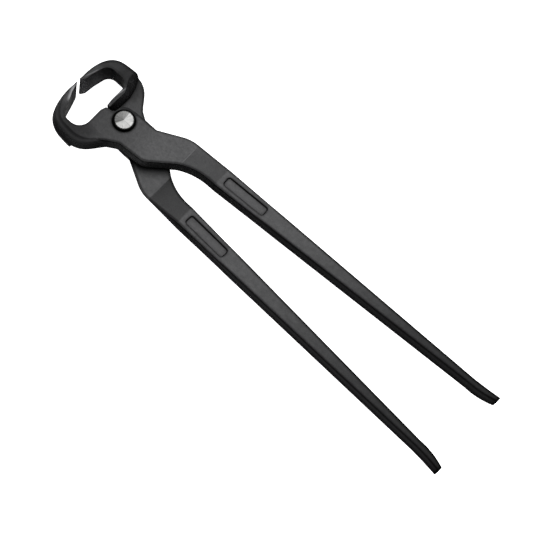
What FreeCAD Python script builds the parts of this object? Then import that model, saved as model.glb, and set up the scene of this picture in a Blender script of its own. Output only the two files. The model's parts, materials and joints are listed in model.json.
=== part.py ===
import FreeCAD, Part
import math
import os
from collections import namedtuple

import Sketcher
from FreeCAD import Placement, Rotation, Vector

# Hoof nippers, 14 inch pattern.  Two forged levers and one rivet.
# The origin is on the pivot axis, at the back face of the anvil lever's boss.  X runs
# from the pivot towards the rein ends and Z along the pivot axis, through the rivet's
# head.  A lever is drawn once, in the place of the cutting lever, with the mating face
# of its boss at Z = 0 and its rein on the +Y side.  The anvil lever is the same forging
# turned half a turn about X.

SIZES = [
    # whole tool
    ("edge_reach", 42.4, "pivot axis to the cutting edge"),
    ("rein_reach", 314.0, "pivot axis to the end of the reins"),
    ("edge_gap", 3.0, "gap between the two edges as drawn"),
    ("plate", 12.0, "thickness of boss, neck and rein"),
    ("face_gap", 0.1, "running gap between the two bosses"),
    # boss and neck
    ("boss_radius", 9.3, "round top of the boss about the pivot"),
    ("boss_swell", 1.0, "how much higher the boss is where the neck starts"),
    ("neck_outer", 10.8, "pivot axis to the straight outer edge of the neck"),
    ("neck_inner", 12.6, "pivot axis to the crotch edge of the neck"),
    ("neck_turn", 12.5, "along the neck to where its outer edge starts to rise"),
    ("neck_rise", 29.0, "degrees that the outer edge rises from there to the rein"),
    ("neck_lean", 17.5, "degrees that the neck's outer wall leans in"),
    ("heel_low", 18.6, "pivot axis to the low corner under the jaw's heel"),
    ("heel_out", 1.5, "how far along the neck that corner is"),
    ("crotch_start", 8.4, "along the neck to the start of the crotch edge"),
    ("crotch_turn", 29.0, "along the neck to where the crotch opens"),
    ("crotch_end", 56.0, "along the neck to where the rein's inner edge starts"),
    ("crease_near", 48.0, "pivot axis to the crease where the plate starts to bend"),
    ("crease_far", 74.0, "pivot axis to the crease where the rein starts"),
    # rein
    ("rein_outer", 26.4, "outer edge of the rein at the far crease"),
    ("rein_width", 14.85, "width of the rein at the far crease"),
    ("rein_tip_width", 3.9, "width of the rein where its end turns out"),
    ("rein_slope", 0.0205, "rise of the outer edge for each mm of length"),
    ("rein_crown", 2.2, "bulge of the rein's two sides"),
    ("crown_run", 50.0, "length over which that bulge grows"),
    ("flare_length", 22.0, "length of the end that turns out"),
    ("flare_rise", 3.0, "how far the end turns out"),
    # jaw
    ("blade_width", 25.4, "width of the jaw across the cutting edge"),
    ("jaw_drop", 34.3, "pivot axis to the lowest point of the jaw's back"),
    ("jaw_crown", 4.8, "how far the jaw's back is rounded off at its two sides"),
    ("brow_drop", 1.4, "pivot axis down to the jaw's end beside the rivet"),
    ("brow_lift", 1.0, "how much higher that end is at the mating side"),
    ("cutter_land", 0.25, "width of the cutting edge"),
    ("anvil_land", 1.2, "width of the blunt edge"),
    # throat
    ("throat_left", 16.4, "pivot axis to the throat wall on the boss side"),
    ("throat_depth", 26.2, "depth of the throat on the boss side"),
    ("throat_slant", 3.8, "how much less deep it is on the mating side"),
    # room for the other lever's boss
    ("step_clearance", 2.1, "room between the boss and the foot of the step wall"),
    ("step_lean", 2.3, "how far the step wall leans back from foot to top"),
    ("step_turn", 19.2, "down the wall's foot to where it turns from the boss"),
    ("step_turn_lift", 3.6, "how much sooner its top turns"),
    ("step_back", 26.8, "down the wall's foot to where it turns to the jaw's back"),
    ("step_draw", 5.6, "how far its top draws back there"),
    # boss face on the jaw's side
    ("face_low", 16.8, "pivot axis down to the end of the flat boss face"),
    ("face_slant", 1.4, "how much lower that end is at the heel"),
    ("face_blend", 4.0, "width of the slope from the boss face up to the jaw's side"),
    # maker's panel
    ("panel_length", 35.0, "length of the bare panel sunk in the rein"),
    ("panel_width", 7.4, "width of the panel"),
    ("panel_corner", 1.8, "corner radius of the panel"),
    ("panel_depth", 1.2, "depth of the panel"),
    ("panel_draft", 0.5, "how much smaller the panel is at its floor, on each side"),
    ("panel_place", 95.0, "pivot axis to the middle of the panel"),
    # rivet
    ("shank_radius", 5.0, "radius of the rivet's shank"),
    ("running_clearance", 0.05, "radial clearance of the turning lever on the shank"),
    ("head_radius", 7.0, "radius of the rivet's head"),
    ("head_recess", 7.8, "radius of the recess round the head"),
    ("recess_depth", 1.4, "depth of that recess"),
    ("head_height", 3.4, "height of the head above the recess floor"),
    ("head_bevel", 0.5, "bevel round the top of the head"),
    ("peen_radius", 6.6, "radius of the closed end, flush with the boss"),
    ("peen_depth", 1.6, "depth of its countersink"),
]

# The curve of the jaw's back, from the edge to the heel: share of edge_reach, share of
# jaw_drop, and how much of the crown pulls it in across and down at the two sides.
JAW_BACK = [
    (1.035, 0.26, 0.43, 0.0),
    (1.02, 0.50, 0.55, 0.1),
    (0.96, 0.77, 0.75, 0.7),
    (0.80, 0.95, 0.5, 0.9),
    (0.59, 1.0, 0.0, 1.0),
    (0.37, 1.0, 0.0, 1.0),
    (0.20, 0.9, 0.0, 0.9),
    (0.08, 0.735, 0.0, 0.6),
]

# One side of the throat.  The inner face of the edge is ground back by grind_in over
# grind_down.  The jaw's inner side then runs to a turn, turn_in from the edge and
# turn_down below the pivot, and to the foot, at a share of edge_reach.  The wall leans
# by brow_lean towards its brow, which is round on the boss side.
Throat = namedtuple("Throat", "grind_in grind_down turn_in turn_down foot_share foot_radius "
                              "heel_radius brow_lean brow_end brow_radius")
CUTTER_SIDE = Throat(1.1, 1.9, 3.2, 9.6, 0.731, 6.0, 8.5, 0.0, 1.0, 4.0)
ANVIL_SIDE = Throat(1.9, 3.2, 3.8, 12.4, 0.8443, 7.0, 8.5, 0.0, 1.0, 4.0)
MATING_SIDE = Throat(1.1, 1.9, 3.8, 10.6, 0.8302, 6.5, 7.0, 0.4, 0.5, 0.8)

# Heights, as shares of half the blade, where the crowned jaw's outline is drawn.
JAW_LEVELS = [-1, -0.9, -0.62, 0, 0.62, 0.9, 1]

MARGIN = 20.0  # how far a cutting outline runs past what it cuts
OVERCUT = 1.0  # how far a cut runs past a face that it opens
THROUGH = 400.0  # depth of a cut that goes right through

size = {name: value for name, value, note in SIZES}
half_blade = size["blade_width"] / 2
half_gap = size["edge_gap"] / 2


def make_sheet(doc):
    """The driving dimensions, one row each: name, value, what it is."""
    sheet = doc.addObject("Spreadsheet::Sheet", "dims")
    for row, (name, value, note) in enumerate(SIZES, start=1):
        sheet.set(f"A{row}", name)
        sheet.set(f"B{row}", str(value))
        sheet.set(f"C{row}", note)
        sheet.setAlias(f"B{row}", name)
    doc.recompute()


# ---------------------------------------------------------------- drawing helpers

def rounded_outline(corners):
    """Lines and tangent arcs round a closed polygon of (x, y, radius) corners."""
    count = len(corners)
    ends = []
    arcs = []
    for index, (x, y, radius) in enumerate(corners):
        here = Vector(x, y, 0)
        before = Vector(*corners[index - 1][:2], 0)
        after = Vector(*corners[(index + 1) % count][:2], 0)
        if radius == 0:
            ends.append((here, here))
            arcs.append(None)
            continue
        to_before = (before - here).normalize()
        to_after = (after - here).normalize()
        half = to_before.getAngle(to_after) / 2
        reach = radius / math.tan(half)
        inward = (to_before + to_after).normalize()
        middle = here + inward * (radius / math.sin(half) - radius)
        start = here + to_before * reach
        stop = here + to_after * reach
        ends.append((start, stop))
        arcs.append(Part.Arc(start, middle, stop))
    edges = []
    for index in range(count):
        if arcs[index] is not None:
            edges.append(arcs[index])
        start = ends[index][1]
        stop = ends[(index + 1) % count][0]
        if start.distanceToPoint(stop) > 1e-6:
            edges.append(Part.LineSegment(start, stop))
    return edges


def closed_lines(points):
    """Straight edges round a closed polygon."""
    spots = [Vector(x, y, 0) for x, y in points]
    return [Part.LineSegment(spot, spots[(index + 1) % len(spots)])
            for index, spot in enumerate(spots)]


def plane_of(body, role):
    """One of the body's origin planes."""
    for feature in body.Origin.OriginFeatures:
        if feature.Role == role:
            return feature
    raise ValueError(role)


def join_ends(sketch, count):
    """Coincident constraints round a closed chain, whichever way each arc runs."""
    for index in range(count):
        following = (index + 1) % count
        pairs = [(sketch.getPoint(index, mine).distanceToPoint(
            sketch.getPoint(following, other)), mine, other)
            for mine in (1, 2) for other in (1, 2)]
        gap, mine, other = min(pairs)
        if gap > 0.001:
            raise RuntimeError(f"{sketch.Name} is open after edge {index}")
        sketch.addConstraint(Sketcher.Constraint("Coincident", index, mine, following, other))


def draw(body, name, role, edges, height=0, height_is=None):
    """A sketch on one of the body's origin planes, lifted by height."""
    sketch = body.newObject("Sketcher::SketchObject", name)
    sketch.AttachmentSupport = (plane_of(body, role), [""])
    sketch.MapMode = "FlatFace"
    sketch.AttachmentOffset = Placement(Vector(0, 0, height), Rotation())
    if height_is:
        sketch.setExpression(".AttachmentOffset.Base.z", height_is)
    sketch.addGeometry(edges, False)
    if len(edges) > 1:
        join_ends(sketch, len(edges))
    sketch.Visibility = False
    return sketch


def draw_circle(body, name, height_is, radius_is):
    """A circle about the pivot axis, bound to the sheet."""
    sketch = draw(body, name, "XY_Plane", [Part.Circle(Vector(), Vector(0, 0, 1), 1)],
                  0, height_is)
    sketch.addConstraint(Sketcher.Constraint("Coincident", 0, 3, -1, 1))
    radius = sketch.addConstraint(Sketcher.Constraint("Radius", 0, 1))
    sketch.setExpression(f"Constraints[{radius}]", radius_is)
    return sketch


def cut(body, name, sketch, length_is=None):
    """A pocket of one length, or right through both ways, that takes material away."""
    before = body.Shape.Volume
    feature = body.newObject("PartDesign::Pocket", name)
    feature.Profile = sketch
    if length_is:
        feature.setExpression("Length", length_is)
    else:
        feature.Length = THROUGH
        feature.Midplane = True
    body.Document.recompute()
    if not body.Shape.Volume < before - 0.1:
        raise RuntimeError(f"{name} takes nothing away")


def loft(body, name, kind, sketches, ruled):
    """An added or a cut loft through the sketches, in their order."""
    feature = body.newObject(f"PartDesign::{kind}Loft", name)
    feature.Profile = sketches[0]
    feature.Sections = sketches[1:]
    feature.Ruled = ruled
    feature.Closed = False
    body.Document.recompute()


# ---------------------------------------------------------------- boss and neck

def rein_edges(x):
    """Outer and inner edge of the straight rein at x."""
    along = x - size["crease_far"]
    straight = size["rein_reach"] - size["flare_length"] - size["crease_far"]
    outer = size["rein_outer"] + size["rein_slope"] * along
    shrink = (size["rein_width"] - size["rein_tip_width"]) * along / straight
    return outer, outer - size["rein_width"] + shrink


def neck_outline():
    """Boss, neck and bend seen along the pivot axis, at the mating plane."""
    near = size["boss_radius"]
    wall = size["throat_left"]
    turn = size["neck_turn"]
    far = size["crease_far"]
    low = -size["heel_low"]
    crotch = -size["neck_inner"]
    outer, inner = rein_edges(far)
    lead_inner = rein_edges(far - MARGIN)[1]
    bend_x = turn + (outer - size["neck_outer"]) / math.tan(math.radians(size["neck_rise"]))
    return rounded_outline([
        (-wall - 0.4, -size["brow_drop"], 0),
        (-near - 1.5, -0.3, 0),
        (-near + 0.2, 1.4, 0.6),
        (-near + 1.3, near - 0.6, near - 2.4),
        (2.4, near + size["boss_swell"], 8),
        (turn, size["neck_outer"], 4),
        (bend_x, outer - 0.2, 28),
        (far, outer, 0),
        (far, inner, 0),
        (size["crotch_end"], lead_inner + 0.1, 45),
        (size["crotch_turn"], crotch, 9),
        (size["crotch_start"], crotch - 1.6, 7),
        (size["heel_out"], low, 0),
        (-wall - 0.4, low, 0),
    ])


def neck_relief(body, name, height, height_is):
    """What the leaning outer wall leaves out of the neck at one height."""
    tangent = math.tan(math.radians(size["neck_lean"]))
    rise = math.radians(size["neck_rise"])
    lean = height * tangent
    start_x = size["neck_turn"] + lean / math.sin(rise)
    outer = size["rein_outer"]
    edge = size["neck_outer"] - 0.1
    bend_x = start_x + (outer - lean - size["neck_outer"]) / math.tan(rise)
    end_x = size["crease_far"] + 6.0
    end_y = outer + size["plate"] / 2 * tangent - lean + 0.3
    return draw(body, name, "XY_Plane", rounded_outline([
        (start_x, edge, 3),
        (bend_x, outer - lean - 0.3, 24),
        (end_x, end_y, 0),
        (end_x, outer + MARGIN, 0),
        (start_x - 8.0, outer + MARGIN, 0),
        (start_x - 8.0, edge, 0),
    ]), height, height_is)


def bend_profiles():
    """Side view of what is taken off, above and below, to bend the plate to the rein."""
    near = size["crease_near"]
    far = size["crease_far"]
    top = size["plate"]
    mid = size["plate"] / 2
    end = far + MARGIN
    start = -size["edge_reach"]
    upper = [(near, top), (far, mid), (end, mid), (end, top + MARGIN), (near, top + MARGIN)]
    lower = [(start, 0), (near, 0), (far, -mid), (end, -mid), (end, -mid - MARGIN),
             (start, -mid - MARGIN)]
    return closed_lines(upper), closed_lines(lower)


def add_neck(body):
    """Boss, neck and bend, cut from one thick outline, with a leaning outer wall."""
    lowest = -size["plate"] / 2
    plan = draw(body, "neck_outline", "XY_Plane", neck_outline(), lowest, "-dims.plate / 2")
    neck = body.newObject("PartDesign::Pad", "neck")
    neck.Profile = plan
    neck.setExpression("Length", "dims.plate * 1.5")
    body.Document.recompute()
    upper, lower = bend_profiles()
    cut(body, "bend_top", draw(body, "bend_top_profile", "XZ_Plane", upper))
    cut(body, "bend_low", draw(body, "bend_low_profile", "XZ_Plane", lower))
    reliefs = [neck_relief(body, "neck_relief_top", size["plate"], "dims.plate"),
               neck_relief(body, "neck_relief_low", lowest, "-dims.plate / 2")]
    loft(body, "neck_lean_cut", "Subtractive", reliefs, True)


# ---------------------------------------------------------------- rein

def rein_section(body, name, x, x_is, middle, width, crown):
    """Cross-section of the rein: flat faces, bulging sides."""
    half = size["plate"] / 2
    outer = middle + width / 2
    inner = middle - width / 2
    corners = [Vector(outer, half, 0), Vector(inner, half, 0),
               Vector(inner, -half, 0), Vector(outer, -half, 0)]
    edges = [
        Part.LineSegment(corners[0], corners[1]),
        Part.Arc(corners[1], Vector(inner - crown, 0, 0), corners[2]),
        Part.LineSegment(corners[2], corners[3]),
        Part.Arc(corners[3], Vector(outer + crown, 0, 0), corners[0]),
    ]
    return draw(body, name, "YZ_Plane", edges, x, x_is)


def add_rein(body):
    """Straight taper from the bend, then the short end that turns out."""
    start = size["crease_far"]
    turn = size["rein_reach"] - size["flare_length"]
    crown = size["rein_crown"]
    turn_is = "dims.rein_reach - dims.flare_length"
    spots = [(start, "dims.crease_far", 0.15),
             (start + size["crown_run"], "dims.crease_far + dims.crown_run", 0.7),
             (turn, turn_is, 1.0)]
    sections = []
    for number, (x, x_is, share) in enumerate(spots):
        outer, inner = rein_edges(x)
        sections.append(rein_section(body, f"rein_section_{number}", x, x_is,
                                     (outer + inner) / 2, outer - inner, crown * share))
    loft(body, "rein", "Additive", sections, True)

    outer, inner = rein_edges(turn)
    middle = (outer + inner) / 2
    ends = []
    for number, (share, lift, thin) in enumerate([(0, 0, 1), (0.5, 0.28, 1), (1, 1, 0.75)]):
        ends.append(rein_section(
            body, f"turn_section_{number}", turn + size["flare_length"] * share,
            f"{turn_is} + dims.flare_length * {share}", middle + size["flare_rise"] * lift,
            (outer - inner) * thin, crown * thin))
    loft(body, "rein_end", "Additive", ends, False)


# ---------------------------------------------------------------- jaw

def jaw_section(body, number, share):
    """The jaw's filled outline at one share of half its width, its back pulled in."""
    reach = size["edge_reach"]
    drop = size["jaw_drop"]
    wall = size["throat_left"]
    inset = size["jaw_crown"] * (1 - math.sqrt(1 - share ** 2))
    brow = -size["brow_drop"] - size["brow_lift"] * min(share, 0)
    back = [Vector(-reach, -half_gap, 0)]
    back += [Vector(-reach * across + inset * pull_x, -drop * down + inset * pull_y, 0)
             for across, down, pull_x, pull_y in JAW_BACK]
    back.append(Vector(size["heel_out"] + 0.1, -size["heel_low"], 0))
    curve = Part.BSplineCurve()
    curve.interpolate(back)
    rest = [back[-1], Vector(back[-1].x, brow, 0), Vector(-wall - 1.0, brow, 0),
            Vector(-wall - 3.0, -half_gap, 0), back[0]]
    edges = [curve] + [Part.LineSegment(first, second)
                       for first, second in zip(rest, rest[1:])]
    return draw(body, f"jaw_section_{number}", "XY_Plane", edges, half_blade * share,
                f"dims.blade_width / 2 * {share}")


def throat_section(body, name, height, height_is, land, depth, side):
    """The throat's outline at one height."""
    reach = -size["edge_reach"]
    wall = -size["throat_left"]
    tip = reach + land
    high = MARGIN / 5
    brow_x = wall + side.brow_end
    return draw(body, name, "XY_Plane", rounded_outline([
        (tip, high, 0),
        (tip, -half_gap, 0),
        (tip + side.grind_in, -half_gap - side.grind_down, 0),
        (reach + side.turn_in, -side.turn_down, 6.0),
        (reach * side.foot_share, -depth, side.foot_radius),
        (wall + 0.1 - side.brow_lean, -depth + 0.2, side.heel_radius),
        (wall - 0.4 + side.brow_lean, -5.0, side.brow_radius),
        (brow_x, -1.0, 0),
        (brow_x, high, 0),
    ]), height, height_is)


def step_section(body, name, level, level_is):
    """Room for the other lever's boss at one level, bounded by the leaning step wall.

    level is 0 at the wall's foot and 1 at the jaw's side."""
    foot = -size["boss_radius"] - size["step_clearance"]
    bulge = 1 - (1 - level) ** 2
    draw_back = size["step_draw"] * level * bulge
    top_y = 6.0
    end_y = -2.1 * MARGIN
    return draw(body, name, "XY_Plane", rounded_outline([
        (foot - 0.3 - size["step_lean"] * level, top_y, 0),
        (foot - size["step_lean"] * level,
         -size["step_turn"] + size["step_turn_lift"] * level, 5.0 - 3.0 * level),
        (foot - 1.9 - draw_back, -size["step_back"] + 1.4 * level, 8.0),
        (foot - 9.5 + 0.8 * level, end_y, 0),
        (MARGIN, end_y, 0),
        (MARGIN, top_y, 0),
    ]), -half_blade * level, level_is)


def boss_face(body, name, height, height_is, blend):
    """What is taken off the jaw's side so that the boss face runs flat to a crease."""
    left = -size["throat_left"] - 11.6
    right = 14.0
    top = 8.0
    low = -size["face_low"] - blend
    return draw(body, name, "XY_Plane", rounded_outline([
        (left, top, 0),
        (left, low, 0),
        (3.0, low - size["face_slant"], 0),
        (right, low - size["face_slant"], 0),
        (right, top, 0),
    ]), height, height_is)


def add_jaw(body, land, side):
    """The hooked jaw: a crowned block, cut by the step for the other boss and the throat."""
    half_is = "dims.blade_width / 2"
    sections = [jaw_section(body, number, share) for number, share in enumerate(JAW_LEVELS)]
    loft(body, "jaw", "Additive", sections, False)

    steps = [step_section(body, "step_top", 1, f"-{half_is}"),
             step_section(body, "step_mid", 0.7, f"-{half_is} * 0.7"),
             step_section(body, "step_foot", 0, None)]
    loft(body, "step", "Subtractive", steps, False)

    faces = [boss_face(body, "boss_face_low", size["plate"], "dims.plate", 0),
             boss_face(body, "boss_face_top", half_blade, half_is, size["face_blend"])]
    loft(body, "boss_face", "Subtractive", faces, True)

    depth = size["throat_depth"]
    mating = MATING_SIDE._replace(grind_in=side.grind_in, grind_down=side.grind_down)
    reach = half_blade + OVERCUT
    throats = [throat_section(body, "throat_top", reach, f"{half_is} + {OVERCUT}", land,
                              depth, side),
               throat_section(body, "throat_low", -reach, f"-{half_is} - {OVERCUT}", land,
                              depth - size["throat_slant"], mating)]
    loft(body, "throat", "Subtractive", throats, True)


# ---------------------------------------------------------------- bore and panel

def add_bore(body, bore_is, turned):
    """The rivet hole, with a recess for the head or a countersink for the hammered end."""
    cut(body, "bore", draw_circle(body, "bore_circle", "dims.plate", bore_is), "dims.plate")
    if turned:
        cone = [draw_circle(body, "countersink_rim", "dims.plate", "dims.peen_radius"),
                draw_circle(body, "countersink_foot", "dims.plate - dims.peen_depth",
                            "dims.shank_radius")]
        loft(body, "countersink", "Subtractive", cone, True)
    else:
        recess = draw_circle(body, "head_recess_circle", "dims.plate", "dims.head_recess")
        cut(body, "head_recess", recess, "dims.recess_depth")


def panel_section(body, name, shrink, height, height_is):
    """The panel's outline at one height, along the middle of the rein."""
    place = size["panel_place"]
    outer, inner = rein_edges(place)
    outer_next, inner_next = rein_edges(place + 1)
    slope = (outer_next + inner_next - outer - inner) / 2
    along = Vector(1, slope, 0).normalize() * (size["panel_length"] / 2 - shrink)
    across = Vector(-slope, 1, 0).normalize() * (size["panel_width"] / 2 - shrink)
    middle = Vector(place, (outer + inner) / 2, 0)
    spots = [middle + along + across, middle - along + across,
             middle - along - across, middle + along - across]
    corner = size["panel_corner"] - shrink / 2
    outline = rounded_outline([(spot.x, spot.y, corner) for spot in spots])
    return draw(body, name, "XY_Plane", outline, height, height_is)


def add_panel(body, on_top):
    """A bare panel with round corners and drafted walls, sunk in the face of the rein."""
    side = 1 if on_top else -1
    sign = "" if on_top else "-"
    half = size["plate"] / 2
    depth = size["panel_depth"]
    rim = panel_section(body, "panel_rim", 0, side * half, f"{sign}dims.plate / 2")
    floor = panel_section(body, "panel_floor", size["panel_draft"], side * (half - depth),
                          f"{sign}(dims.plate / 2 - dims.panel_depth)")
    loft(body, "panel", "Subtractive", [rim, floor], True)


# ---------------------------------------------------------------- the three pieces

def new_body(doc, name):
    body = doc.addObject("PartDesign::Body", name)
    body.Label = name
    doc.recompute()
    return body


def make_lever(doc, name, land, side, bore_is, turned):
    """One forged lever, drawn in the place of the cutting lever.

    Both levers have their panel on the face that shows once the anvil one is turned."""
    body = new_body(doc, name)
    add_neck(body)
    add_rein(body)
    add_jaw(body, land, side)
    add_bore(body, bore_is, turned)
    add_panel(body, not turned)
    return body


def make_cutting_lever(doc):
    """Sharp edge, free on the rivet, in front."""
    lever = make_lever(doc, "cutting_lever", size["cutter_land"], CUTTER_SIDE,
                       "dims.shank_radius + dims.running_clearance", False)
    lever.setExpression(".Placement.Base.z", "dims.plate + dims.face_gap")
    return lever


def make_anvil_lever(doc):
    """Blunt edge, tight on the rivet, behind."""
    lever = make_lever(doc, "anvil_lever", size["anvil_land"], ANVIL_SIDE,
                       "dims.shank_radius", True)
    lever.Placement = Placement(Vector(), Rotation(Vector(1, 0, 0), 180))
    lever.setExpression(".Placement.Base.z", "dims.plate")
    return lever


def make_rivet(doc):
    """Shank, bevelled head in the cutting lever's recess, flush end in the countersink."""
    body = new_body(doc, "pivot_rivet")
    floor = size["plate"] * 2 + size["face_gap"] - size["recess_depth"]
    top = floor + size["head_height"]
    bevel = size["head_bevel"]
    shank = size["shank_radius"]
    head = size["head_radius"]
    peen = size["peen_radius"]
    profile = draw(body, "rivet_profile", "XZ_Plane", closed_lines([
        (0, top), (0, 0), (peen, 0), (shank, size["peen_depth"]), (shank, floor),
        (head, floor), (head, top - bevel), (head - bevel, top)]))
    turn = body.newObject("PartDesign::Revolution", "rivet")
    turn.Profile = profile
    turn.ReferenceAxis = (profile, ["V_Axis"])
    turn.Angle = 360
    return body


def check(doc, bodies):
    """Stop if any object failed or any body isn't one valid solid."""
    for obj in doc.Objects:
        if "Invalid" in obj.State or "Error" in obj.State:
            raise RuntimeError(f"{obj.Name}: {obj.State}")
    for body in bodies:
        shape = body.Shape
        if shape.isNull() or not shape.isValid() or len(shape.Solids) != 1:
            raise RuntimeError(f"{body.Label} is not one valid solid")


def main():
    os.makedirs("parts", exist_ok=True)
    doc = FreeCAD.newDocument("hoof_nippers")
    make_sheet(doc)
    bodies = [make_cutting_lever(doc), make_anvil_lever(doc), make_rivet(doc)]
    doc.recompute()
    check(doc, bodies)
    for body in bodies:
        body.Shape.exportStep(f"parts/{body.Label}.step")


main()
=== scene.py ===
import json
import math

import bpy
from bpy.props import FloatProperty, FloatVectorProperty, PointerProperty
from mathutils import Matrix, Vector


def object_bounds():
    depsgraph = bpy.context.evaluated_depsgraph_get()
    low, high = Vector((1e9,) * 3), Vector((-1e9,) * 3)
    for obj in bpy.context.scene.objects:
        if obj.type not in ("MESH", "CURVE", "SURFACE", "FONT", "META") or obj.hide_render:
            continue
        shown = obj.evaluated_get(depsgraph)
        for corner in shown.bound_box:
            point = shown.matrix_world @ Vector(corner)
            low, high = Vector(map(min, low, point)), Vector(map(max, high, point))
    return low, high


bl_info = {
    "name": "Hoof Nippers Finish",
    "version": (1, 0, 0),
    "blender": (4, 5, 0),
    "location": "View3D > Sidebar > Nippers",
    "description": "Finishes the forged levers and the rivet, and sets up a plain studio",
    "category": "Object",
}

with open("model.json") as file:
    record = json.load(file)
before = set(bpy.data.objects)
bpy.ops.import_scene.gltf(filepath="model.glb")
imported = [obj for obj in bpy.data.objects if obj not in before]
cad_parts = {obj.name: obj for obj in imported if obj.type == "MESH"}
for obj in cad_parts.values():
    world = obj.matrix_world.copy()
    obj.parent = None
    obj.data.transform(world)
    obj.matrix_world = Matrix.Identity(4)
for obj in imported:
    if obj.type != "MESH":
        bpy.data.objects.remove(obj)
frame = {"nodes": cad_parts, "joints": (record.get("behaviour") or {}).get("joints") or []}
CAD_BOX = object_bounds()

LEVERS = ("cutting_lever", "anvil_lever")
RIVET = "pivot_rivet"


# ------------------------------------------------------------------ settings

class NippersFinish(bpy.types.PropertyGroup):
    """Colours and textures of the two metals"""

    oxide_dark: FloatVectorProperty(
        name="Oxide, Dark", description="Darkest tone of the black oxide", subtype="COLOR",
        size=3, min=0, max=1, default=(0.040, 0.040, 0.041))
    oxide_light: FloatVectorProperty(
        name="Oxide, Light", description="Lightest tone of the black oxide",
        subtype="COLOR", size=3, min=0, max=1, default=(0.068, 0.068, 0.069))
    oxide_roughness: FloatProperty(
        name="Oxide Roughness", description="Roughness of the oxide finish",
        subtype="FACTOR", min=0, max=1, default=0.46)
    worn_metal: FloatVectorProperty(
        name="Worn Edges", description="Colour where the oxide is rubbed thin",
        subtype="COLOR", size=3, min=0, max=1, default=(0.16, 0.16, 0.16))
    wear: FloatProperty(
        name="Wear", description="How much of the oxide is rubbed off the edges",
        subtype="FACTOR", min=0, max=1, default=0.3)
    # Painted shade: how dark the rolled rims are painted
    rim_shade: FloatProperty(
        name="Rim Tone", description="How dark the rolled rims are", subtype="FACTOR",
        min=0, max=1, default=0.20)
    # Painted shade in the corners and along the panel edges
    crevice_shade: FloatProperty(
        name="Crevice Tone", description="How dark the corners and the panel edges are",
        subtype="FACTOR", min=0, max=1, default=0.30)
    # Painted shade in the groove round the rivet
    groove_shade: FloatProperty(
        name="Groove Tone", description="How dark the groove round the rivet is",
        subtype="FACTOR", min=0, max=1, default=0.15)
    # Colour of the painted highlights on the ground flanks and the worn crease
    highlight_metal: FloatVectorProperty(
        name="Ground Marks", description="Colour of the ground marks on the levers",
        subtype="COLOR", size=3, min=0, max=1, default=(0.20, 0.20, 0.205))
    rivet_colour: FloatVectorProperty(
        name="Rivet Steel", description="Colour of the ground rivet head", subtype="COLOR",
        size=3, min=0, max=1, default=(0.31, 0.31, 0.305))
    # Heading of the painted dark reflection sector on the rivet head
    shaded_sector: FloatProperty(
        name="Dull Sector", description="Where on the rivet head the dull sector points",
        subtype="ANGLE", unit="ROTATION", default=math.radians(172))


class NippersStudio(bpy.types.PropertyGroup):
    """The floor, the lights and the camera"""

    floor_size: FloatProperty(
        name="Floor Size", description="Side of the square floor", subtype="DISTANCE",
        unit="LENGTH", min=0.5, default=6.0)
    floor_glow: FloatProperty(
        name="Floor Glow", description="How strongly the light table shines", min=0,
        default=1.1)
    key_power: FloatProperty(
        name="Key Light", description="Power of the overhead soft light", subtype="POWER",
        unit="POWER", min=0, default=12.5)
    key_size: FloatProperty(
        name="Key Size", description="Width of the overhead soft light",
        subtype="DISTANCE", unit="LENGTH", min=0.1, default=1.2)
    key_place: FloatVectorProperty(
        name="Key Place", description="Place of the soft light from the part's middle",
        subtype="TRANSLATION", unit="LENGTH", size=3, default=(-0.185, 0.60, 1.50))
    world_strength: FloatProperty(
        name="Surround", description="Strength of the even light from above", min=0,
        default=0.45)
    wall_strength: FloatProperty(
        name="Walls", description="Strength of the white studio walls near the bench", min=0,
        default=2.2)
    camera_target: FloatVectorProperty(
        name="Camera Target",
        description="Point the camera looks at, from the pivot, before the camera's turn",
        subtype="TRANSLATION", unit="LENGTH", size=3, default=(0.131237, -0.042404, 0.00016))
    camera_turn: FloatProperty(
        name="Camera Turn", description="Turn of the camera about the upright axis",
        subtype="ANGLE", unit="ROTATION", default=math.radians(15.568))
    camera_elevation: FloatProperty(
        name="Camera Elevation", description="Angle of the camera above the bench",
        subtype="ANGLE", unit="ROTATION", default=math.radians(71.046))
    camera_roll: FloatProperty(
        name="Camera Roll", description="Turn of the camera about its own line of sight",
        subtype="ANGLE", unit="ROTATION", default=math.radians(27.091))
    camera_distance: FloatProperty(
        name="Camera Distance", description="Distance from the camera to its target",
        subtype="DISTANCE", unit="LENGTH", default=1.006734)
    camera_lens: FloatProperty(
        name="Lens", description="Focal length on a 36 mm sensor", subtype="DISTANCE_CAMERA",
        default=100.36)


# ------------------------------------------------------------------ places and tones
#
# Places are metres from the pivot. Along is positive towards the rein ends, and across is
# positive on the side of the cutting lever's rein. A pair is where a change begins and
# where it ends. A tone multiplies the metal's colour: one leaves it, zero is black.

# The levers: where the painted shade on the rims, on the outer flanks and in the groove
# round the rivet changes
REIN_RIM_SPAN = (0.112, 0.135)         # along: the rims grow wider down the reins
REIN_RIM_WEIGHT = (0.8, 2.2)
JAW_RIM_SPAN = (-0.014, -0.006)        # along: the rims are faint on the jaws
JAW_RIM_WEIGHT = (0.35, 1.0)
OUTER_SPAN = (0.0155, 0.0215)          # across: painted shade towards the outer edge of a jaw
OUTER_SHADE = (1.0, 0.62)
JAW_FLAT_SPAN = (-0.004, -0.011)       # along: painted shade from the boss into the jaws, on the flats
JAW_SIDE_SPAN = (0.016, 0.004)         # along: painted shade from the neck into the boss, on the sides
GROOVE_SPAN = (0.0081, 0.0086)         # radius: painted shade from the groove out to the boss face

# Painted shade along the lever, on its flats and on its sides: place along, tone
FLAT_SHADE = ((-0.045, 0.62), (-0.035, 0.80), (-0.024, 0.54), (-0.012, 0.66), (0.010, 0.78),
              (0.026, 0.97), (0.090, 0.97), (0.150, 0.84), (0.200, 0.62), (0.245, 0.43),
              (0.314, 0.30))
SIDE_SHADE = ((-0.045, 1.0), (-0.038, 0.90), (-0.032, 0.42), (-0.012, 0.44), (0.000, 0.34),
              (0.022, 0.54), (0.035, 0.56), (0.075, 0.32), (0.150, 0.26), (0.314, 0.18))
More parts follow.
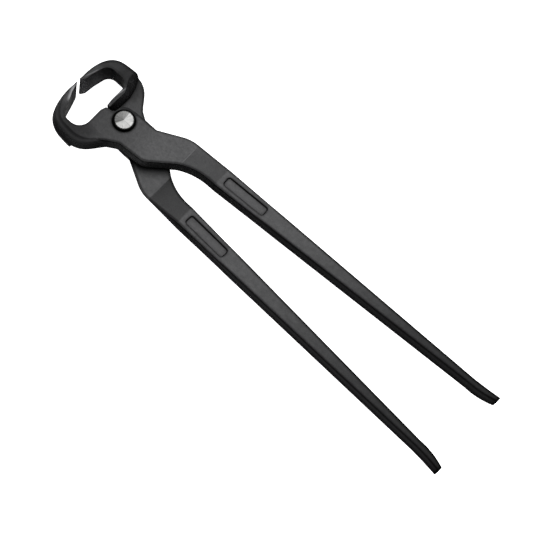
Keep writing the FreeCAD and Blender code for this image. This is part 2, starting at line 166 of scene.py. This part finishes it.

# Painted highlights: start, end, half width, and how bright. The first three lie where the
# jaws' flanks are ground and catch the light. The last is a painted highlight on the worn
# crease of the cutting lever's bend.
GROUND_HIGHLIGHTS = (
    ((-0.0420, -0.0030), (-0.0360, -0.0165), 0.0014, 0.9),
    ((-0.0412, 0.0043), (-0.0376, 0.0163), 0.0004, 0.32),
    ((-0.0183, -0.0010), (-0.0149, 0.0200), 0.0004, 0.55),
    ((0.0486, 0.0035), (0.0484, 0.0222), 0.0003, 0.22),
)
MARK_SIDE_FADE = (1.5, 0.5)            # from nothing to full, in half widths from its line
MARK_END_FADE = (0.5, 0.25)            # from nothing to full, in lengths from its middle

# How level a surface is: one is level, zero is upright. The upright sides take the darker
# painted shade
LEVER_FLAT = (0.35, 0.85)
HEAD_FLAT = (0.5, 0.95)

# Ambient occlusion, taken inside the metal to find ridges and outside to find corners
RIDGE_REACH = 0.0024
RIDGE_SAMPLES = 12
RIM_AT = (0.95, 0.78)                  # from open metal to a rolled rim, where shade is painted
RUBBED_AT = (0.66, 0.52)               # from a rim to its rubbed edge
CORNER_REACH = 0.0028
CORNER_SAMPLES = 8
CORNER_AT = (0.50, 0.97)               # from the depth of a corner to an open face, for the painted shade in corners

# Noise textures: scale, detail, roughness. Most of a noise lies in its band.
NOISE_BAND = (0.3, 0.7)
CLOUD = (110, 2, 0.5)
CLOUD_SHARE = (0.35, 0.65)
GRAIN = (1100, 3, 0.7)
WEAR_PATCHES = (320, 3, 0.6)
WEAR_BAND = (0.42, 0.62)
SATIN = (420, 4, 0.6)
SATIN_CHANGE = 0.05                    # of the roughness, to either side
FORGED_SKIN = (90, 2, 0.5)
BLASTED_SKIN = (2200, 2, 0.6)
SPECKLE = (900, 3, 0.6)
SPECKLE_TONES = (0.88, 1.08)
SCRATCHES = (700, 4, 0.6)
RIVET_ROUGHNESS = (0.36, 0.46)

# Relief: strength, and height in metres
FORGED_RELIEF = (0.2, 0.0003)
BLASTED_RELIEF = (0.25, 0.00006)
TURNED_RELIEF = (0.08, 0.00003)
BEVEL_SAMPLES = 6
LEVER_BEVEL = 0.0007
HEAD_BEVEL = 0.0004

# The rivet head: a painted dark reflection sector that ends about 75 degrees to either side
# of its heading, a painted highlight across the rest, a fan of fine spokes, and turned rings
SECTOR_EDGE = (math.cos(math.radians(82)), math.cos(math.radians(68)))
BRIGHT_SPAN = (-1.0, 1.0)              # sideways over the head, as a share of the radius
BRIGHT_TONES = (0.92, 1.06)
SHADED_SPAN = (-0.9, 0.9)
SHADED_TONES = (0.24, 0.50)
SPOKES = {"Scale": 4.0, "Detail": 3.0, "Roughness": 0.6}
SPOKE_TONES = (0.64, 1.20)
RINGS = {"Scale": 900.0, "Distortion": 0.6, "Detail": 2.0}
HEAD_SIDE_SHADE = (0.06, 1.0)          # painted shade from the head's upright side to its face
HEAD_RIM_SPAN = (0.0061, 0.0065)       # radius: painted shade over the last of the ground face
HEAD_RIM_SHADE = (1.0, 0.10)
CENTRE_RADIUS = 1e-5                   # keeps the division by the radius away from zero

# The oxide's reflections at a grazing angle
OXIDE_TINT = (0.25, 0.25, 0.25, 1.0)

# The studio
WHITE = (1.0, 1.0, 1.0, 1.0)
FLOOR_COLOUR = (0.85, 0.85, 0.85, 1.0)
FLOOR_ROUGHNESS = 0.9
FLOOR_SPECULAR = 0.1
WALL_FADE = (0.25, 0.60)               # height on the world sphere where the walls fade
SENSOR_WIDTH = 36.0                    # millimetres
CLIP_END = 50.0


# ------------------------------------------------------------------ shader helpers

class NodeBench:
    """Adds and wires shader nodes with few words"""

    def __init__(self, name):
        self.material = bpy.data.materials.new(name)
        self.material.use_nodes = True
        self.tree = self.material.node_tree
        self.shader = self.tree.nodes["Principled BSDF"]
        self.coords = self.tree.nodes.new("ShaderNodeTexCoord").outputs

    def put(self, value, socket):
        """Links an output to the socket, or writes a plain value into it"""
        if isinstance(value, bpy.types.NodeSocket):
            self.tree.links.new(value, socket)
        else:
            socket.default_value = value

    def add(self, kind, settings=None, **inputs):
        node = self.tree.nodes.new(kind)
        for key, value in (settings or {}).items():
            setattr(node, key, value)
        for key, value in inputs.items():
            self.put(value, node.inputs[key.replace("_", " ")])
        return node

    def finish(self, **inputs):
        """Sets the shader's own sockets"""
        for key, value in inputs.items():
            self.put(value, self.shader.inputs[key.replace("_", " ")])

    def place(self):
        """Distance along and across the tool, from the pivot"""
        parts = self.add("ShaderNodeSeparateXYZ", Vector=self.coords["Object"])
        return parts.outputs["X"], parts.outputs["Y"]

    def level(self):
        """One where the surface is level, zero where it is upright"""
        parts = self.add("ShaderNodeSeparateXYZ", Vector=self.coords["Normal"])
        return self.maths("ABSOLUTE", parts.outputs["Z"])

    def noise(self, scale, detail, roughness):
        node = self.add("ShaderNodeTexNoise", Vector=self.coords["Object"], Scale=scale,
                        Detail=detail, Roughness=roughness)
        return node.outputs["Fac"]

    def spread(self, value, span, tones=(0.0, 1.0)):
        """Carries a span of the value over to a span of tones, and stops at both ends"""
        node = self.add("ShaderNodeMapRange", Value=value, From_Min=span[0], From_Max=span[1],
                        To_Min=tones[0], To_Max=tones[1])
        return node.outputs["Result"]

    def maths(self, operation, first, second=0.0):
        node = self.add("ShaderNodeMath", {"operation": operation})
        self.put(first, node.inputs[0])
        self.put(second, node.inputs[1])
        return node.outputs["Value"]

    def product(self, first, *others):
        for other in others:
            first = self.maths("MULTIPLY", first, other)
        return first

    def blend(self, factor, first, second):
        """The first number where the factor is zero, the second where it is one"""
        kept = self.product(self.maths("SUBTRACT", 1.0, factor), first)
        return self.maths("ADD", kept, self.product(factor, second))

    def radius(self, along, across):
        return self.maths("SQRT", self.maths("ADD", self.product(along, along),
                                             self.product(across, across)))

    def towards(self, along, across, heading):
        """Distance in the direction of a heading, which is counted from along to across"""
        return self.maths("ADD", self.product(along, math.cos(heading)),
                          self.product(across, math.sin(heading)))

    def tint(self, factor, first, second):
        """The first colour where the factor is zero, the second where it is one"""
        node = self.tree.nodes.new("ShaderNodeMix")
        node.data_type = "RGBA"
        factor_socket, first_socket, second_socket = (node.inputs[i] for i in (0, 6, 7))
        self.put(factor, factor_socket)
        for colour, socket in ((first, first_socket), (second, second_socket)):
            plain = not isinstance(colour, bpy.types.NodeSocket)
            self.put((*colour, 1.0) if plain else colour, socket)
        return node.outputs[2]

    def shade(self, colour, tone):
        """The colour multiplied by a tone"""
        node = self.add("ShaderNodeVectorMath", {"operation": "MULTIPLY"})
        self.put(colour, node.inputs[0])
        self.put(tone, node.inputs[1])
        return node.outputs["Vector"]

    def occlusion(self, reach, samples, inside=False):
        """One on an open face, less in a corner, or less at a ridge from inside the metal"""
        settings = {"samples": samples, "inside": inside, "only_local": inside}
        return self.add("ShaderNodeAmbientOcclusion", settings, Distance=reach).outputs["AO"]

    def bevel(self, radius):
        node = self.add("ShaderNodeBevel", {"samples": BEVEL_SAMPLES}, Radius=radius)
        return node.outputs["Normal"]

    def bump(self, height, relief, normal):
        strength, distance = relief
        node = self.add("ShaderNodeBump", Height=height, Strength=strength, Distance=distance,
                        Normal=normal)
        return node.outputs["Normal"]


# ------------------------------------------------------------------ black oxide

def lengthwise_shade(bench, along, tones):
    """Painted shade that changes along the lever"""
    start, end = tones[0][0], tones[-1][0]
    node = bench.add("ShaderNodeValToRGB", Fac=bench.spread(along, (start, end)))
    ramp = node.color_ramp
    while len(ramp.elements) < len(tones):
        ramp.elements.new(0.5)
    for element, (place, tone) in zip(ramp.elements, tones):
        element.position = (place - start) / (end - start)
        element.color = (tone, tone, tone, 1.0)
    return bench.add("ShaderNodeRGBToBW", Color=node.outputs["Color"]).outputs["Val"]


def oxide_colour(bench, finish, ridge):
    """A faint cloud and a fine grain in equal parts, rubbed brighter along the edges"""
    cloud = bench.spread(bench.noise(*CLOUD), NOISE_BAND, CLOUD_SHARE)
    grain = bench.spread(bench.noise(*GRAIN), NOISE_BAND)
    colour = bench.tint(bench.blend(0.5, cloud, grain), finish.oxide_dark, finish.oxide_light)
    patches = bench.spread(bench.noise(*WEAR_PATCHES), WEAR_BAND)
    worn = bench.product(bench.spread(ridge, RUBBED_AT), patches, finish.wear)
    return bench.tint(worn, colour, finish.worn_metal)


def rim_shade(bench, finish, ridge, along):
    """Painted shade on the rolled rims, darker than the flats: faint on the jaws, strong down
    the reins
    """
    rolled = bench.product(bench.spread(ridge, RIM_AT),
                           bench.spread(along, REIN_RIM_SPAN, REIN_RIM_WEIGHT),
                           bench.spread(along, JAW_RIM_SPAN, JAW_RIM_WEIGHT))
    return bench.spread(rolled, (0.0, 1.0), (1.0, finish.rim_shade))


def lever_shade(bench, along, across, on_flat):
    """Painted shade on the flats and the sides, each with its own change along the lever"""
    outer = bench.spread(bench.maths("ABSOLUTE", across), OUTER_SPAN, OUTER_SHADE)
    flank = bench.blend(bench.spread(along, JAW_FLAT_SPAN), 1.0, outer)
    jaw_side = bench.blend(bench.spread(along, JAW_SIDE_SPAN), 1.0, outer)
    flats = bench.product(flank, lengthwise_shade(bench, along, FLAT_SHADE))
    sides = bench.product(jaw_side, lengthwise_shade(bench, along, SIDE_SHADE))
    return bench.blend(on_flat, sides, flats)


def ground_highlight(bench, along, across, start, end, half_width):
    """One along the middle of a straight painted highlight, fading to zero at its sides and
    ends
    """
    length = math.dist(start, end)
    heading = math.atan2(end[1] - start[1], end[0] - start[0])
    along = bench.maths("SUBTRACT", along, start[0])
    across = bench.maths("SUBTRACT", across, start[1])
    run = bench.towards(along, across, heading)
    side = bench.towards(along, across, heading + math.pi / 2)
    from_middle = bench.maths("ABSOLUTE", bench.maths("SUBTRACT", run, length / 2))
    from_line = bench.maths("ABSOLUTE", side)
    ends = [share * length for share in MARK_END_FADE]
    sides = [share * half_width for share in MARK_SIDE_FADE]
    return bench.product(bench.spread(from_middle, ends), bench.spread(from_line, sides))


def black_oxide(finish):
    """Satin black oxide over a shot-blasted forging, rubbed a little on the edges, with
    painted shade and painted highlights
    """
    bench = NodeBench("black_oxide_steel")
    along, across = bench.place()
    on_flat = bench.spread(bench.level(), LEVER_FLAT)
    ridge = bench.occlusion(RIDGE_REACH, RIDGE_SAMPLES, inside=True)
    corner = bench.occlusion(CORNER_REACH, CORNER_SAMPLES)

    tone = bench.product(
        # painted shade: darker sides, darker rein ends and darker outer jaw edges
        lever_shade(bench, along, across, on_flat),
        # painted shade in the groove round the rivet
        bench.spread(bench.radius(along, across), GROOVE_SPAN, (finish.groove_shade, 1.0)),
        # painted shade on the rolled rims
        rim_shade(bench, finish, ridge, along),
        # painted shade in the corners and round the panel
        bench.spread(corner, CORNER_AT, (finish.crevice_shade, 1.0)))
    colour = bench.shade(oxide_colour(bench, finish, ridge), tone)
    # Painted highlights where the ground flanks and the worn crease catch the light
    for start, end, half_width, brightness in GROUND_HIGHLIGHTS:
        mark = ground_highlight(bench, along, across, start, end, half_width)
        colour = bench.tint(bench.product(mark, on_flat, brightness), colour,
                            finish.highlight_metal)

    satin = (finish.oxide_roughness - SATIN_CHANGE, finish.oxide_roughness + SATIN_CHANGE)
    forged = bench.bump(bench.noise(*FORGED_SKIN), FORGED_RELIEF, bench.bevel(LEVER_BEVEL))
    blasted = bench.bump(bench.noise(*BLASTED_SKIN), BLASTED_RELIEF, forged)
    bench.finish(Metallic=1.0, Specular_Tint=OXIDE_TINT, Base_Color=colour, Normal=blasted,
                 Roughness=bench.spread(bench.noise(*SATIN), NOISE_BAND, satin))
    return bench.material


# ------------------------------------------------------------------ rivet steel

def sector_shade(bench, finish, along, across, radius):
    """A painted dark reflection sector on the ground face, with a slow painted change of
    light across the head
    """
    radius = bench.maths("MAXIMUM", radius, CENTRE_RADIUS)
    ahead = bench.towards(along, across, finish.shaded_sector)
    aside = bench.towards(along, across, finish.shaded_sector - math.pi / 2)
    ahead = bench.maths("DIVIDE", ahead, radius)
    aside = bench.maths("DIVIDE", aside, radius)
    return bench.blend(bench.spread(ahead, SECTOR_EDGE),
                       bench.spread(aside, BRIGHT_SPAN, BRIGHT_TONES),
                       bench.spread(aside, SHADED_SPAN, SHADED_TONES))


def ground_steel(finish):
    """Bright steel with turned rings and fine scratches, with a painted dark reflection over
    one sector and painted shade on the head's side and rim
    """
    bench = NodeBench("ground_rivet_steel")
    along, across = bench.place()
    radius = bench.radius(along, across)
    spokes = bench.add("ShaderNodeTexNoise", {"noise_dimensions": "1D"},
                       W=bench.maths("ARCTAN2", across, along), **SPOKES)
    rings = bench.add("ShaderNodeTexWave", {"wave_type": "RINGS", "rings_direction": "Z"},
                      Vector=bench.coords["Object"], **RINGS)

    tone = bench.product(
        # painted dark reflection over one sector of the head
        sector_shade(bench, finish, along, across, radius),
        bench.spread(spokes.outputs["Fac"], NOISE_BAND, SPOKE_TONES),
        bench.spread(bench.noise(*SPECKLE), NOISE_BAND, SPECKLE_TONES),
        # painted shade on the head's upright side and round its rim
        bench.spread(bench.level(), HEAD_FLAT, HEAD_SIDE_SHADE),
        bench.spread(radius, HEAD_RIM_SPAN, HEAD_RIM_SHADE))
    turned = bench.bump(rings.outputs["Fac"], TURNED_RELIEF, bench.bevel(HEAD_BEVEL))
    bench.finish(Metallic=1.0, Base_Color=bench.shade(finish.rivet_colour, tone),
                 Roughness=bench.spread(bench.noise(*SCRATCHES), NOISE_BAND, RIVET_ROUGHNESS),
                 Normal=turned)
    return bench.material


def give(node_name, material):
    """Puts one finish on a carried-over piece"""
    mesh = frame["nodes"][node_name].data
    mesh.materials.clear()
    mesh.materials.append(material)


# ------------------------------------------------------------------ operators

class NIPPERS_OT_finish_levers(bpy.types.Operator):
    """Give both forged levers their black oxide finish"""

    bl_idname = "nippers.finish_levers"
    bl_label = "Finish Levers"

    def execute(self, context):
        material = black_oxide(context.scene.nippers_finish)
        for name in LEVERS:
            give(name, material)
        return {"FINISHED"}


class NIPPERS_OT_finish_rivet(bpy.types.Operator):
    """Give the rivet its ground steel finish"""

    bl_idname = "nippers.finish_rivet"
    bl_label = "Finish Rivet"

    def execute(self, context):
        give(RIVET, ground_steel(context.scene.nippers_finish))
        return {"FINISHED"}


class NIPPERS_OT_build_studio(bpy.types.Operator):
    """Lay the floor, hang the lights and set the camera"""

    bl_idname = "nippers.build_studio"
    bl_label = "Build Studio"

    def execute(self, context):
        scene, studio = context.scene, context.scene.nippers_studio
        self.lay_floor(scene, studio)
        self.hang_key_light(scene, studio)
        self.light_walls(scene, studio)
        self.set_camera(scene, studio)
        scene.view_settings.view_transform = "Standard"
        return {"FINISHED"}

    def lay_floor(self, scene, studio):
        """A white light table, level with the lowest point of the part"""
        half, height = studio.floor_size / 2, CAD_BOX[0][2]
        corners = [(-half, -half, height), (half, -half, height), (half, half, height),
                   (-half, half, height)]
        mesh = bpy.data.meshes.new("studio_floor")
        mesh.from_pydata(corners, [], [(0, 1, 2, 3)])
        bench = NodeBench("pale_floor")
        bench.finish(Base_Color=FLOOR_COLOUR, Roughness=FLOOR_ROUGHNESS,
                     Specular_IOR_Level=FLOOR_SPECULAR, Emission_Color=WHITE,
                     Emission_Strength=studio.floor_glow)
        mesh.materials.append(bench.material)
        floor = bpy.data.objects.new("studio_floor", mesh)
        scene.collection.objects.link(floor)

    def hang_key_light(self, scene, studio):
        """One large soft disk overhead, aimed at the middle of the part"""
        light = bpy.data.lights.new("overhead_soft", "AREA")
        light.shape = "DISK"
        light.size = studio.key_size
        light.energy = studio.key_power
        middle = (Vector(CAD_BOX[0]) + Vector(CAD_BOX[1])) / 2
        lamp = bpy.data.objects.new("overhead_soft", light)
        lamp.location = middle + Vector(studio.key_place)
        lamp.rotation_euler = (middle - lamp.location).to_track_quat("-Z", "Y").to_euler()
        scene.collection.objects.link(lamp)

    def light_walls(self, scene, studio):
        """White walls that are bright near the bench and fade to an even light above"""
        world = bpy.data.worlds.new("studio_surround")
        world.use_nodes = True
        nodes, links = world.node_tree.nodes, world.node_tree.links
        direction = nodes.new("ShaderNodeTexCoord")
        height = nodes.new("ShaderNodeSeparateXYZ")
        fade = nodes.new("ShaderNodeMapRange")
        settings = {"From Min": WALL_FADE[0], "From Max": WALL_FADE[1],
                    "To Min": studio.wall_strength, "To Max": studio.world_strength}
        for key, value in settings.items():
            fade.inputs[key].default_value = value
        background = nodes["Background"]
        background.inputs["Color"].default_value = WHITE
        links.new(direction.outputs["Generated"], height.inputs["Vector"])
        links.new(height.outputs["Z"], fade.inputs["Value"])
        links.new(fade.outputs["Result"], background.inputs["Strength"])
        scene.world = world

    def set_camera(self, scene, studio):
        """A long lens, turned and tilted about a point near the part's middle"""
        data = bpy.data.cameras.new("studio_camera")
        data.lens = studio.camera_lens
        data.sensor_width = SENSOR_WIDTH
        data.clip_end = CLIP_END
        turn = Matrix.Rotation(studio.camera_turn, 4, "Z")
        tilt = Matrix.Rotation(math.pi / 2 - studio.camera_elevation, 4, "X")
        back = Matrix.Translation((0, 0, studio.camera_distance))
        roll = Matrix.Rotation(studio.camera_roll, 4, "Z")
        pivot = Vector((0, 0, frame["joints"][0]["pos_m"][2]))
        target = pivot + turn @ Vector(studio.camera_target)
        camera = bpy.data.objects.new("studio_camera", data)
        camera.matrix_world = Matrix.Translation(target) @ turn @ tilt @ back @ roll
        scene.collection.objects.link(camera)
        scene.camera = camera


# ------------------------------------------------------------------ panel

class NIPPERS_PT_sidebar(bpy.types.Panel):
    """Buttons for each finish and the studio"""

    bl_label = "Nippers"
    bl_idname = "NIPPERS_PT_sidebar"
    bl_space_type = "VIEW_3D"
    bl_region_type = "UI"
    bl_category = "Nippers"

    def draw(self, context):
        for operator in OPERATORS:
            self.layout.operator(operator.bl_idname)


OPERATORS = (NIPPERS_OT_finish_levers, NIPPERS_OT_finish_rivet, NIPPERS_OT_build_studio)
CLASSES = (NippersFinish, NippersStudio, *OPERATORS, NIPPERS_PT_sidebar)


def register():
    for cls in CLASSES:
        bpy.utils.register_class(cls)
    bpy.types.Scene.nippers_finish = PointerProperty(type=NippersFinish)
    bpy.types.Scene.nippers_studio = PointerProperty(type=NippersStudio)


def unregister():
    del bpy.types.Scene.nippers_studio
    del bpy.types.Scene.nippers_finish
    for cls in reversed(CLASSES):
        bpy.utils.unregister_class(cls)


def main():
    register()
    bpy.ops.nippers.finish_levers()
    bpy.ops.nippers.finish_rivet()
    bpy.ops.nippers.build_studio()


if __name__ == "__main__":
    main()
